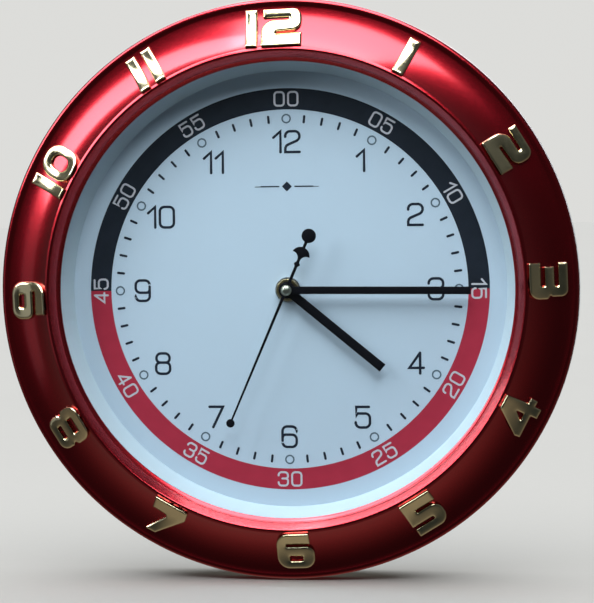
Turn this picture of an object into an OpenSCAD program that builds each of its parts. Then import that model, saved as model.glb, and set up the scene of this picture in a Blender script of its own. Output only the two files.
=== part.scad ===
// Round quartz wall clock with a coved front ring, raised hour numerals and three hands.
// Every module is drawn with x to the right, y up and z from the wall towards the viewer.
// stand_up() then turns it into the object's own frame: the front faces -Y, +Z is up, and the
// origin lies on the hands' axis in the plane of the wall.

/* [Case] */
// Outside diameter of the back case
case_d = 300; // [298:0.5:303]
// Distance from the wall to the back of the case floor
floor_z = 18.5; // [18.5:0.1:19]
// Thickness of the case floor
floor_t = 2.2; // [2:0.1:2.4]
// Wall thickness of the front ring
ring_wall = 2.2; // [1.8:0.1:2.4]
// Distance from the case floor to the glass
glass_gap = 12.6; // [12.4:0.1:13.4]
// Thickness of the glass
glass_t = 2; // [1.8:0.1:2.2]
// Number of screws that hold the case to the front ring
screw_count = 6; // [4:1:8]

/* [Hanging] */
// Height of the hanging hole above the hands' axis
hang_y = 108; // [100:1:112]
// Radius of the round entry of the hanging hole
hang_r = 4.5; // [4:0.1:5]
// Width of the slot above the entry
hang_slot = 4.2; // [3.5:0.1:4.4]

/* [Numerals] */
// Height of a raised numeral, measured towards the centre
numeral_h = 19.4; // [18:0.1:19.6]
// Radius of the circle through the numerals' middles
numeral_r = 133.9; // [133:0.1:134]
// Thickness of a raised numeral
numeral_t = 1.9; // [1.6:0.1:3]
// Turn of the front ring in the case, positive clockwise
ring_turn = -1.8; // [-3:0.1:3]

/* [Dial] */
// Thickness of the printed dial
dial_t = 0.6; // [0.4:0.1:0.8]
// Radius of the dial
dial_r = 118.5; // [118:0.1:119]
// Radius inside which the dial shows
dial_open_r = 113.1; // [112.5:0.1:114]

/* [Hands] */
// Time shown by the hour hand, as an angle from twelve
hour_angle = 129.5; // [0:0.5:360]
// Angle of the minute hand from twelve
minute_angle = 90.4; // [0:0.1:360]
// Angle of the second hand from twelve
second_angle = 203.4; // [0:0.1:360]
// Length of the hour hand from the axis
hour_len = 63.6; // [60:0.1:66]
// Width of the hour hand
hour_w = 4.7; // [4:0.1:5]
// Length of the minute hand from the axis
minute_len = 94.6; // [90:0.1:98]
// Width of the minute hand
minute_w = 3.9; // [3.4:0.1:4.4]
// Distance from the axis to the disc at the second hand's tip
second_len = 74.8; // [70:0.1:78]

/* [Movement] */
// Side of the square movement
movement_w = 56; // [56:0.1:56.6]
// Wall thickness of the movement's housing
movement_wall = 1.2; // [1.1:0.1:1.2]
// Running clearance of shafts, on the radius
run_gap = 0.05; // [0.03:0.01:0.08]
// Share of the tooth thickness left as backlash
backlash = 0.12; // [0.1:0.01:0.16]

/* [Hidden] */
$fn = 96;
NUMERALS = [for (n = [1:12]) str("numeral_", n)];

// Levels in front of the wall
case_r = case_d / 2;
front_r = case_r - 0.7;
floor_top = floor_z + floor_t;
dial_z = floor_top + dial_t;
glass_z = floor_top + glass_gap;
ledge_z = glass_z + glass_t + 0.05;
skirt_z = floor_top + 0.6;
glass_r = 120.6;
open_r = 117;

// Cove of the front ring: a hollow arc that carries the numerals
cove_r = 34.3;
cove_c = [front_r - 0.5, ledge_z + 30.25];
cove_a = [223, 264];
cove_steps = 14;
bead_r = 2.1;
bead_c = [front_r - bead_r, ledge_z - 5.45];

// Levels inside the movement
cover_z = 2.8;
cover_t = 1.2;
front_z = 18;
front_t = 0.8;
plate_z = 12.6;
plate_t = 0.8;
half_w = movement_w / 2;
inner_w = half_w - movement_wall;
divider_y = -11.6;
pivot_r = 0.4;
arbor_r = 0.6;
pipe_r = 1.75;
hour_pipe_r = 2.5;
second_r = 0.5;
knob_shaft_r = 1.5;
minute_post_r = 0.7;
battery_r = 7.25;
battery_p = [-19.4, 9.85];

// Wheel train: modules and tooth counts
tooth_angle = 30;
addendum = 0.75;
dedendum = 1;
fast_m = 0.26;
third_m = 0.255;
motion_m = 0.4;
rotor_z = 10;
fifth_z = 60;
fifth_pinion_z = 12;
seconds_z = 60;
seconds_pinion_z = 8;
third_z = 64;
third_pinion_z = 8;
centre_z = 60;
cannon_z = 12;
minute_z = 36;
minute_pinion_z = 10;
hour_z = 40;
knob_z = 12;

// Levels of the wheels in the movement: rear face and front face
rotor_pinion_at = [4.9, 6.5];
rotor_magnet_at = [7.2, 9.6];
fifth_at = [5.4, 6];
fifth_pinion_at = [5.9, 8.6];
seconds_at = [7.4, 8];
seconds_pinion_at = [7.9, 10.4];
third_at = [9.2, 9.8];
third_pinion_at = [9.7, 12.1];
centre_at = [11, 11.6];
centre_boss_at = [10.9, 12];
cannon_at = [14, 15.1];
cannon_rear = 10.8;
minute_at = [14.2, 14.8];
minute_pinion_at = [14.7, 16.6];
hour_at = [15.6, 16.3];
hour_rear = 15.5;
knob_rear = 0.6;

// Distances between the arbors, and the directions in which the train runs
third_dist = third_m * (seconds_pinion_z + third_z) / 2;
centre_m = 2 * third_dist / (third_pinion_z + centre_z);
motion_dist = motion_m * (cannon_z + minute_z) / 2;
hour_m = 2 * motion_dist / (minute_pinion_z + hour_z);
fifth_dist = fast_m * (fifth_pinion_z + seconds_z) / 2;
rotor_dist = fast_m * (rotor_z + fifth_z) / 2;
third_dir = 0;
fifth_dir = 140;
rotor_dir = 120;
minute_dir = 60;
function polar(r, a) = [r * cos(a), r * sin(a)];
third_p = polar(third_dist, third_dir);
fifth_p = polar(fifth_dist, fifth_dir);
rotor_p = fifth_p + polar(rotor_dist, rotor_dir);
minute_p = polar(motion_dist, minute_dir);
knob_p = minute_p + polar(motion_dist, minute_dir);

// Points of an arc about c, from angle a0 to a1
function arc(c, r, a0, a1, n) = [for (i = [0:n]) c + polar(r, a0 + (a1 - a0) * i / n)];

// Length of a plane vector, and the arc that rounds one corner of an outline
function len2(v) = norm([v[0], v[1]]);
function corner(before, at, after, r) =
    let (u = (before - at) / len2(before - at), v = (after - at) / len2(after - at),
         half = acos(max(-1, min(1, u * v))) / 2,
         bis = (u + v) / len2(u + v),
         c = at + bis * r / sin(half),
         p0 = at + u * r / tan(half),
         a0 = atan2(p0[1] - c[1], p0[0] - c[0]),
         p1 = at + v * r / tan(half),
         a1 = atan2(p1[1] - c[1], p1[0] - c[0]),
         turn = a1 - a0 > 180 ? a1 - a0 - 360 : a1 - a0 < -180 ? a1 - a0 + 360 : a1 - a0,
         n = max(2, ceil(abs(turn) / 18)))
    [for (i = [0:n]) c + polar(r, a0 + turn * i / n)];
// An outline given as [x, y, corner radius]
function rounded(p) = [for (i = [0:len(p) - 1])
    let (n = len(p), b = p[(i + n - 1) % n], a = p[(i + 1) % n])
    each corner([b[0], b[1]], [p[i][0], p[i][1]], [a[0], a[1]], p[i][2])];

// Involute teeth: polar angle of the flank beyond the base circle
function inv(a) = (tan(a) - a * PI / 180) * 180 / PI;
function flank(z, m, r) =
    let (rb = m * z / 2 * cos(tooth_angle))
    90 / z * (1 - backlash) + inv(tooth_angle) - inv(acos(min(1, rb / max(rb, r))));
// Phase of a wheel that meshes with another: angle of its first tooth
function mate(za, phase_a, dir, zb) = dir + 180 + (dir - phase_a) * za / zb + 180 / zb;

module stand_up() {
    rotate([90, 0, 0]) children();
}

module at(p, z = 0) {
    translate([p[0], p[1], z]) children();
}

module disc(r, z0, z1) {
    translate([0, 0, z0]) cylinder(r = r, h = z1 - z0);
}

module tube(r, bore, z0, z1) {
    difference() {
        disc(r, z0, z1);
        disc(bore, z0 - 1, z1 + 1);
    }
}

module gear_flat(z, m, phase) {
    root = m * z / 2 - dedendum * m;
    tip = m * z / 2 + addendum * m;
    half_root = flank(z, m, root);
    half_tip = flank(z, m, tip);
    polygon([for (i = [0:z - 1]) let (a = phase + 360 * i / z) each [
        polar(root, a - half_root),
        polar(tip, a - half_tip),
        polar(tip, a + half_tip),
        polar(root, a + half_root)]]);
}

module gear(z, m, phase, level) {
    translate([0, 0, level[0]]) linear_extrude(level[1] - level[0]) gear_flat(z, m, phase);
}

// A wheel with teeth round a web that has round windows
module wheel(z, m, phase, level, windows = 5) {
    rim = m * z / 2 - 1.4;
    hub = 2.4;
    window_r = (rim - hub) * 0.32;
    difference() {
        gear(z, m, phase, level);
        for (i = [0:windows - 1]) rotate(360 * i / windows)
            translate([(rim + hub) / 2, 0, 0]) disc(window_r, level[0] - 1, level[1] + 1);
    }
}

// Case -----------------------------------------------------------------------------------------

// Front face of the ring, from the glass outwards: edge, slope with a step, ridge, cove and bead
ring_face = concat(
    [[open_r, ledge_z], [open_r, ledge_z + 0.7], [open_r + 0.3, ledge_z + 1],
     [open_r + 1.9, ledge_z + 2.7], [open_r + 2.1, ledge_z + 3.4]],
    arc([open_r + 5.5, ledge_z + 6.1], 1.15, 150, 50, 8),
    arc(cove_c, cove_r, cove_a[0], cove_a[1], cove_steps),
    arc(bead_c, bead_r, 110, 0, 12));
ring_back = concat(
    [[front_r, skirt_z], [front_r - ring_wall, skirt_z], [front_r - ring_wall, bead_c[1] - 0.6]],
    arc(cove_c, cove_r + ring_wall, cove_a[1] - 1, cove_a[0] + 3, cove_steps),
    [[glass_r + 2.2, ledge_z - 2.8], [glass_r + 0.2, ledge_z - 2.8], [glass_r + 0.2, ledge_z]]);
boss_r = 3.6;
screw_circle_r = 133.5;

module screw_places() {
    for (i = [0:screw_count - 1]) rotate(90 + 180 / screw_count + 360 * i / screw_count)
        translate([screw_circle_r, 0, 0]) children();
}

module ring_bosses() {
    under_cove = concat(arc(cove_c, cove_r + ring_wall / 2, cove_a[0] + 3, cove_a[1] - 1, cove_steps),
        [[front_r - 4, floor_top + 0.1], [glass_r + 4, floor_top + 0.1]]);
    intersection() {
        screw_places() disc(boss_r, floor_top + 0.1, ledge_z);
        rotate_extrude() polygon(under_cove);
    }
}

module front_ring() {
    color([0.66, 0.03, 0.08]) stand_up() difference() {
        union() {
            rotate_extrude() polygon(concat(ring_face, ring_back));
            ring_bosses();
        }
        screw_places() disc(1.25, floor_top - 1, floor_top + 9.5);
    }
}

module glass() {
    color([0.85, 0.92, 0.95, 0.35]) stand_up() disc(glass_r, glass_z, glass_z + glass_t);
}

module spacer_ring() {
    top = glass_z - 0.05;
    color([0.93, 0.96, 0.98]) stand_up() rotate_extrude() polygon([
        [dial_open_r, dial_z], [dial_r, dial_z], [dial_r, dial_z + 1.2], [dial_open_r + 2.3, dial_z + 1.2],
        [open_r + 3.2, top - 1.2], [glass_r, top - 1.2], [glass_r, top], [open_r + 1.3, top]]);
}

module dial() {
    color([0.86, 0.93, 0.97]) stand_up() tube(dial_r, 4.3, floor_top, dial_z);
}

rim_rear = [case_r - 7.4, case_r - 5.2];
tower_w = 30;
tower_h = 27;
tower_z = 1;
tower_wall = 2;
corner_rib = 12;

module hanger_tower() {
    translate([-tower_w / 2, hang_y - 10, tower_z]) difference() {
        cube([tower_w, tower_h, floor_z - tower_z + 0.5]);
        translate([tower_wall, tower_wall, tower_wall])
            cube([tower_w - 2 * tower_wall, tower_h - 2 * tower_wall, floor_z - tower_z - tower_wall]);
    }
}

module keyhole() {
    translate([0, hang_y, tower_z - 1]) {
        cylinder(r = hang_r, h = tower_wall + 2);
        translate([-hang_slot / 2, 0, 0]) cube([hang_slot, 10, tower_wall + 2]);
        translate([0, 10, 0]) cylinder(r = hang_slot / 2, h = tower_wall + 2);
    }
}

// Two short ribs at each corner of the movement keep it from turning
module locating_ribs() {
    for (a = [0:90:270]) rotate(a) translate([half_w + 0.4, half_w - corner_rib, floor_z - 3]) {
        cube([1.6, corner_rib + 2, 3.2]);
        translate([-corner_rib, corner_rib, 0]) cube([corner_rib + 1.6, 1.6, 3.2]);
    }
}

module stiffening_ribs() {
    rib_count = 12;
    rib_in = 62;
    rib_out = 126;
    for (i = [0:rib_count - 1]) rotate(15 + 360 * i / rib_count)
        translate([rib_in, -0.8, floor_z - 1.5]) cube([rib_out - rib_in, 1.6, 1.7]);
    for (r = [rib_in, rib_out]) tube(r + 0.8, r - 0.8, floor_z - 1.5, floor_z + 0.2);
}

module back_case() {
    wall_in = [[rim_rear[0], 0], [case_r - 3.8, floor_z - 2], [case_r - 3.8, floor_z]];
    color([0.9, 0.9, 0.88]) stand_up() difference() {
        union() {
            rotate_extrude() polygon(concat([[4.1, floor_top], [4.1, floor_z]],
                [wall_in[2], wall_in[1], wall_in[0]],
                [[rim_rear[1], 0], [case_r - 1, floor_z - 1.4], [case_r, floor_z + 0.2],
                 [case_r, floor_top + 0.4], [case_r - 0.3, floor_top + 0.5],
                 [front_r - ring_wall - 0.2, floor_top + 0.5], [front_r - ring_wall - 0.2, floor_top]]));
            hanger_tower();
            locating_ribs();
            stiffening_ribs();
        }
        keyhole();
        screw_places() disc(1.7, floor_z - 3, floor_top + 1);
    }
}

module case_screws() {
    head_t = 1.8;
    color([0.75, 0.75, 0.76]) stand_up() screw_places() difference() {
        union() {
            disc(3, floor_z - 0.05 - head_t, floor_z - 0.05);
            disc(1.2, floor_z - 0.1, floor_top + 9);
        }
        for (a = [0, 90]) rotate(a) translate([-1.6, -0.35, floor_z - head_t - 1]) cube([3.2, 0.7, 1.9]);
    }
}

// Numerals -------------------------------------------------------------------------------------
// Outlines of the digits as [x, y, corner radius], on a height of numeral_h; holes are listed apart.

nh = numeral_h;
bar_w = 6.2;
two = [[0.8, nh, 0.5], [19.2, nh, 4.6], [19.2, 8.4, 4.8], [6.8, 7.7, 0.5], [6.8, 6.5, 0.5],
       [19.2, 6.9, 0.5], [19.2, 0, 0.5], [0, 0, 0.5], [0, nh - 5.7, 6.2], [13, nh - 5.7, 0.6],
       [13, nh - 4.3, 0.6], [0.8, nh - 4.3, 0.5]];
three = [[0.3, nh, 0.8], [17.6, nh, 3.6], [17.6, 11.2, 1.4], [16.8, 10.6, 0.3], [18.7, 9.2, 1.6],
         [18.7, 0, 5.2], [0, 0, 0.6], [0, 5.8, 0.5], [12.2, 5.8, 0.9], [12.2, 7.8, 0.9], [2.2, 7.8, 0.5],
         [2.2, nh - 6.8, 0.5], [12.2, nh - 6.8, 0.9], [12.2, nh - 4.8, 0.9], [0.3, nh - 4.8, 0.5]];
four = [[9.8, nh, 1.2], [17.4, nh, 0.8], [17.9, 7.6, 0.3], [21, 7.6, 0.5], [20.8, 3.6, 0.5],
        [17.8, 3.6, 0.3], [17.8, 0, 0.5], [12.6, 0, 0.5], [12.4, 3.4, 0.3], [0.4, 3.2, 0.6], [0, 6.2, 0.6]];
four_hole = [[8.2, 7.2, 0.3], [12, 7.2, 0.3], [12, 11.2, 0.3]];
five = [[0, nh, 0.6], [17.9, nh, 0.6], [17.9, nh - 6, 0.5], [6.3, nh - 6, 0.6], [6.3, 11.9, 0.6],
        [18.9, 11.9, 5], [18.9, 0, 5.4], [0.8, 0, 0.6], [0.8, 4.5, 0.5], [12.3, 4.5, 0.6],
        [12.3, 6, 0.6], [0, 6, 0.5]];
six = [[0, nh, 7], [17.6, nh, 0.6], [17.6, nh - 6, 0.5], [5.2, nh - 6, 0.6], [5.2, 11.9, 0.6],
       [19.6, 11.9, 4], [19.6, 0, 5.4], [0, 0, 6.4]];
six_hole = [[6.6, 4, 0.7], [13.3, 4, 0.7], [13.3, 6.8, 0.7], [6.6, 6.8, 0.7]];
seven = [[0, nh, 0.6], [19, nh - 0.2, 1.2], [19.2, nh - 6, 2.4], [7.4, 0, 0.8], [1.3, 0, 0.6],
         [9.8, nh - 7.2, 1], [0.5, nh - 6.8, 0.5]];
eight = [[0.6, nh - 0.2, 4.6], [18.8, nh - 0.2, 4.6], [18.8, 12.2, 1.4], [17.5, 10.8, 0.6],
         [19.8, 9.4, 1.8], [19.8, 0, 5.6], [0, 0, 5.6], [0, 9.4, 1.8], [2, 10.8, 0.6], [0.6, 12.2, 1.4]];
eight_holes = [[[6.2, 13.4, 0.6], [13, 13.4, 0.6], [13, 15.4, 0.6], [6.2, 15.4, 0.6]],
               [[5.8, 5.4, 0.7], [13.8, 5.4, 0.7], [13.8, 8.6, 0.7], [5.8, 8.6, 0.7]]];
zero = [[0, nh - 0.1, 7.4], [17, nh - 0.1, 7.4], [17, 0.1, 7.4], [0, 0.1, 7.4]];
zero_hole = [[4.8, 4.8, 3.5], [12.2, 4.8, 3.5], [12.2, nh - 4.8, 3.5], [4.8, nh - 4.8, 3.5]];

module glyph(outline, holes = []) {
    difference() {
        polygon(rounded(outline));
        for (h = holes) polygon(rounded(h));
    }
}

module bar_glyph(w = bar_w) {
    glyph([[0, 0, 0.5], [w, 0, 0.5], [w, nh, 0.5], [0, nh, 0.5]]);
}

module digit(n) {
    if (n == 2) glyph(two);
    if (n == 3) glyph(three);
    if (n == 4) glyph(four, [four_hole]);
    if (n == 5) glyph(five);
    if (n == 6) glyph(six, [six_hole]);
    if (n == 7) glyph(seven);
    if (n == 8) glyph(eight, eight_holes);
    if (n == 9) translate([19.6, nh]) rotate(180) digit(6);
    if (n == 0) glyph(zero, [zero_hole]);
}

// Eleven has thinner bars; twelve has a wider two
thin_bar_w = 5.8;
two_w = 19.2;
wide_two_w = 20.6;
ten_zero_x = 7.7;
eleven_bar_x = 9.2;
twelve_two_x = 8.2;

// Overall widths, from the left edge of the first stroke to the right edge of the last
numeral_w = [bar_w, two_w, 18.7, 21, 18.9, 19.6, 19.2, 19.8, 19.6, ten_zero_x + 17,
             eleven_bar_x + thin_bar_w, twelve_two_x + wide_two_w];

module numeral_flat(n) {
    if (n > 1 && n < 10) digit(n);
    if (n == 1 || n == 10 || n == 12) bar_glyph();
    if (n == 10) translate([ten_zero_x, 0]) digit(0);
    if (n == 11) for (x = [0, eleven_bar_x]) translate([x, 0]) bar_glyph(thin_bar_w);
    if (n == 12) translate([twelve_two_x, 0]) scale([wide_two_w / two_w, 1]) digit(2);
}

// A numeral stands on the cove and follows its hollow; four to seven read upright at the bottom
module numeral(n) {
    glue = 0.08;
    upright = n >= 4 && n <= 7;
    band = concat(arc(cove_c, cove_r - glue, cove_a[0] - 2, cove_a[1] + 2, cove_steps),
        arc(cove_c, cove_r - glue - numeral_t, cove_a[1] + 2, cove_a[0] - 2, cove_steps));
    color([0.83, 0.69, 0.38]) stand_up() intersection() {
        rotate(-30 * n - ring_turn) translate([0, numeral_r, floor_top]) rotate(upright ? 180 : 0)
            translate([-numeral_w[n - 1] / 2, -nh / 2, 0]) linear_extrude(40) numeral_flat(n);
        rotate_extrude() polygon(band);
    }
}

// Hands ----------------------------------------------------------------------------------------

hour_hand_z = dial_z + 4.5;
minute_hand_z = dial_z + 6.9;
second_hand_z = dial_z + 8.9;
press_gap = 0.02;

module bar_hand(len, w, eye_r, bore, z0, t) {
    difference() {
        union() {
            disc(eye_r, z0, z0 + t);
            translate([-w / 2, 0, z0]) cube([w, len, t]);
            disc(bore + 0.9, z0 - 1.2, z0 + 0.1);
        }
        disc(bore, z0 - 3, z0 + 3);
    }
}

module hour_hand() {
    color([0.06, 0.06, 0.08]) stand_up() rotate(-hour_angle)
        bar_hand(hour_len, hour_w, 4.3, hour_pipe_r + press_gap, hour_hand_z, 0.6);
}

module minute_hand() {
    color([0.06, 0.06, 0.08]) stand_up() rotate(-minute_angle)
        bar_hand(minute_len, minute_w, 3.7, pipe_r + press_gap, minute_hand_z, 0.5);
}

// Tail of the second hand: rod, lozenge, crescent with its horns towards the axis, and a disc
module second_tail_flat() {
    rod_w = 1.56;
    lozenge_y = -14.6;
    lozenge_half = [1.65, 1.9];
    crescent_y = -19.15;
    crescent_r = 4.77;
    bite_p = [4.12, -16.7];
    bite_r = 3.39;
    disc_y = -30.4;
    translate([-rod_w / 2, disc_y]) square([rod_w, -disc_y]);
    translate([0, lozenge_y]) polygon([[0, -lozenge_half[1]], [lozenge_half[0], 0],
        [0, lozenge_half[1]], [-lozenge_half[0], 0]]);
    difference() {
        translate([0, crescent_y]) circle(r = crescent_r);
        for (side = [-1, 1]) translate([side * bite_p[0], bite_p[1]]) circle(r = bite_r);
        translate([-6, bite_p[1] - 0.6]) square([12, 6]);
    }
    translate([0, disc_y]) circle(r = 3.7);
}

module second_hand() {
    t = 0.4;
    color([0.06, 0.06, 0.08]) stand_up() rotate(-second_angle) difference() {
        union() {
            translate([0, 0, second_hand_z]) linear_extrude(t) {
                polygon([[-0.75, 0], [0.75, 0], [0.5, second_len], [-0.5, second_len]]);
                translate([0, second_len]) circle(r = 2.2);
                second_tail_flat();
                circle(r = 2.6);
            }
            // Tube that is pressed on the arbor, closed by a domed cap
            disc(1.2, second_hand_z - 1.2, second_hand_z + 0.1);
            translate([0, 0, second_hand_z]) intersection() {
                translate([0, 0, -1.95]) sphere(r = 3.45);
                cylinder(r = 2.85, h = 4);
            }
        }
        disc(second_r + press_gap, second_hand_z - 3, second_hand_z + 0.6);
    }
}

// Centre fixing --------------------------------------------------------------------------------

bush_r = 4;
bush_top = dial_z + 3.1;

module centre_bush() {
    pitch = 0.75;
    thread = [for (z = [front_z + 0.6 : pitch : bush_top - pitch])
        each [[bush_r, z], [bush_r, z + pitch * 0.3], [bush_r - 0.35, z + pitch * 0.5],
              [bush_r - 0.35, z + pitch * 0.8]]];
    color([0.78, 0.62, 0.3]) stand_up() rotate_extrude() polygon(concat(
        [[hour_pipe_r + run_gap, front_z - front_t], [bush_r + 1.5, front_z - front_t],
         [bush_r + 1.5, front_z], [bush_r, front_z]], thread,
        [[bush_r - 0.35, bush_top], [hour_pipe_r + run_gap, bush_top]]));
}

module centre_nut() {
    color([0.82, 0.66, 0.32]) stand_up() rotate_extrude() polygon([
        [bush_r + 0.03, dial_z + 0.55], [5.7, dial_z + 0.55], [5.7, dial_z + 2.9],
        [5.2, dial_z + 3.3], [bush_r + 0.03, dial_z + 3.3]]);
}

module dial_washer() {
    color([0.8, 0.8, 0.8]) stand_up() tube(6.6, 4.15, dial_z, dial_z + 0.5);
}

module rubber_washer() {
    color([0.1, 0.1, 0.1]) stand_up() tube(9, 4.2, front_z, floor_z);
}

// Movement -------------------------------------------------------------------------------------

module square_tube(half, t, z0, z1) {
    translate([-half, -half, z0]) difference() {
        cube([2 * half, 2 * half, z1 - z0]);
        translate([t, t, -1]) cube([2 * (half - t), 2 * (half - t), z1 - z0 + 2]);
    }
}

plate_posts = [[-13.4, -8.4], [20.2, -8.4], [20.2, 20]];

module movement_housing() {
    color([0.12, 0.12, 0.13]) stand_up() difference() {
        union() {
            square_tube(half_w, movement_wall, cover_z, front_z);
            translate([-half_w, -half_w, front_z - front_t]) cube([movement_w, movement_w, front_t]);
            translate([-inner_w, divider_y, cover_z]) cube([2 * inner_w, 1, front_z - cover_z]);
            for (p = plate_posts) at(p) disc(1.7, plate_z + plate_t, front_z);
        }
        disc(bush_r + 1.55, front_z - 3, front_z + 1);
    }
}

module blind_pivot(p) {
    at(p) disc(pivot_r + run_gap, cover_z + cover_t - pivot_depth - 0.1, cover_z + cover_t + 1);
}

module movement_cover() {
    edge = inner_w - 0.1;
    y0 = divider_y + 1.1;
    color([0.16, 0.16, 0.17]) stand_up() difference() {
        translate([-edge, y0, cover_z]) cube([2 * edge, edge - y0, cover_t]);
        blind_pivot([0, 0]);
        blind_pivot(third_p);
        blind_pivot(fifth_p);
        blind_pivot(rotor_p);
        at(knob_p) disc(knob_shaft_r + run_gap, cover_z - 1, cover_z + cover_t + 1);
    }
}

plate_outline = [[-16, -10.2, 1], [22, -10.2, 1], [22, 22, 1], [6.8, 22, 1], [6.8, 17, 1], [-16, 17, 1]];

module middle_plate() {
    bore = pivot_r + run_gap;
    top = plate_z + plate_t;
    color([0.85, 0.85, 0.8]) stand_up() difference() {
        union() {
            translate([0, 0, plate_z]) linear_extrude(plate_t) polygon(rounded(plate_outline));
            at(minute_p) disc(minute_post_r, top - 0.1, front_z - front_t - 0.3);
        }
        disc(pipe_r + run_gap, plate_z - 1, top + 1);
        for (p = [third_p, fifth_p, rotor_p]) at(p) disc(bore, plate_z - 1, top + 1);
        at(knob_p) disc(knob_shaft_r + run_gap, plate_z - 1, top + 1);
    }
}

pivot_depth = 0.6;
shoulder_gap = 0.25;
cover_front = cover_z + cover_t;

// Arbor with thinner pivots that turn in the cover and in the middle plate
module arbor() {
    disc(pivot_r, cover_front - pivot_depth, plate_z + plate_t);
    disc(arbor_r, cover_front + shoulder_gap, plate_z - shoulder_gap);
}

// Phases, each worked out from the wheel it meshes with
seconds_pinion_phase = second_angle;
third_phase = mate(seconds_pinion_z, seconds_pinion_phase, third_dir, third_z);
third_pinion_phase = 0;
centre_phase = mate(third_pinion_z, third_pinion_phase, third_dir + 180, centre_z);
seconds_phase = 0;
fifth_pinion_phase = mate(seconds_z, seconds_phase, fifth_dir, fifth_pinion_z);
fifth_phase = 0;
rotor_phase = mate(fifth_z, fifth_phase, rotor_dir, rotor_z);
cannon_phase = 0;
minute_phase = mate(cannon_z, cannon_phase, minute_dir, minute_z);
minute_pinion_phase = 0;
hour_phase = mate(minute_pinion_z, minute_pinion_phase, minute_dir + 180, hour_z);
knob_phase = mate(minute_z, minute_phase, minute_dir, knob_z);

module rotor() {
    color([0.35, 0.35, 0.38]) stand_up() at(rotor_p) {
        arbor();
        gear(rotor_z, fast_m, rotor_phase, rotor_pinion_at);
        disc(1.1, rotor_pinion_at[1] - 0.1, rotor_magnet_at[0] + 0.1);
        disc(3, rotor_magnet_at[0], rotor_magnet_at[1]);
    }
}

module fifth_wheel() {
    color([0.9, 0.9, 0.86]) stand_up() at(fifth_p) {
        arbor();
        wheel(fifth_z, fast_m, fifth_phase, fifth_at);
        gear(fifth_pinion_z, fast_m, fifth_pinion_phase, fifth_pinion_at);
    }
}

module seconds_wheel() {
    color([0.9, 0.9, 0.86]) stand_up() {
        disc(pivot_r, cover_front - pivot_depth, cover_front + 1);
        disc(second_r, cover_front + shoulder_gap, second_hand_z + 0.5);
        wheel(seconds_z, fast_m, seconds_phase, seconds_at);
        gear(seconds_pinion_z, third_m, seconds_pinion_phase, seconds_pinion_at);
    }
}

module third_wheel() {
    color([0.9, 0.9, 0.86]) stand_up() at(third_p) {
        arbor();
        wheel(third_z, third_m, third_phase, third_at);
        gear(third_pinion_z, centre_m, third_pinion_phase, third_pinion_at);
    }
}

module centre_wheel() {
    color([0.9, 0.9, 0.86]) stand_up() difference() {
        union() {
            wheel(centre_z, centre_m, centre_phase, centre_at);
            disc(2.6, centre_boss_at[0], centre_boss_at[1]);
        }
        disc(pipe_r + run_gap, centre_boss_at[0] - 1, centre_boss_at[1] + 1);
    }
}

// The cannon pinion's pipe passes through the centre wheel and carries the minute hand
module cannon_pinion() {
    color([0.78, 0.62, 0.3]) stand_up() difference() {
        union() {
            disc(pipe_r, cannon_rear, minute_hand_z + 0.8);
            gear(cannon_z, motion_m, cannon_phase, cannon_at);
        }
        disc(second_r + run_gap, cannon_rear - 1, minute_hand_z + 2);
    }
}

module minute_wheel() {
    color([0.9, 0.9, 0.86]) stand_up() at(minute_p) difference() {
        union() {
            wheel(minute_z, motion_m, minute_phase, minute_at, 4);
            gear(minute_pinion_z, hour_m, minute_pinion_phase, minute_pinion_at);
        }
        disc(minute_post_r + run_gap, minute_at[0] - 1, minute_pinion_at[1] + 1);
    }
}

module hour_wheel() {
    color([0.9, 0.9, 0.86]) stand_up() difference() {
        union() {
            wheel(hour_z, hour_m, hour_phase, hour_at);
            disc(hour_pipe_r, hour_rear, hour_hand_z + 0.9);
        }
        disc(pipe_r + run_gap, hour_rear - 1, hour_hand_z + 2);
    }
}

module setting_knob() {
    grips = 24;
    knob_r = 6.2;
    grip_depth = 0.45;
    knob_front = cover_z - 0.3;
    color([0.75, 0.12, 0.1]) stand_up() at(knob_p) difference() {
        union() {
            translate([0, 0, knob_rear]) linear_extrude(knob_front - knob_rear)
                polygon([for (i = [0:2 * grips - 1])
                    polar(knob_r - (i % 2) * grip_depth, 180 * i / grips)]);
            disc(knob_shaft_r, knob_front - 0.1, cannon_at[1]);
            gear(knob_z, motion_m, knob_phase, cannon_at);
        }
        // Slot for a coin or a fingernail
        translate([-4, -0.6, 0]) cube([8, 1.2, knob_rear + 0.7]);
    }
}

coil_x = [-19, 4];
coil_y = 23.2;
coil_z = 8.4;
coil_r = 3.1;
flange_r = 3.4;
flange_t = 1;
core = [2.9, 0.9];
core_gap = 0.1;

module along_x(x0, x1, r, y, z) {
    translate([x0, y, z]) rotate([0, 90, 0]) cylinder(r = r, h = x1 - x0);
}

module coil() {
    hole = [core[0] + 2 * core_gap, core[1] + 2 * core_gap];
    color([0.72, 0.36, 0.16]) stand_up() difference() {
        union() {
            along_x(coil_x[0], coil_x[1], coil_r, coil_y, coil_z);
            for (x = [coil_x[0], coil_x[1] - flange_t]) along_x(x, x + flange_t, flange_r, coil_y, coil_z);
        }
        translate([coil_x[0] - 1, coil_y - hole[0] / 2, coil_z - hole[1] / 2])
            cube([coil_x[1] - coil_x[0] + 2, hole[0], hole[1]]);
    }
}

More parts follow.
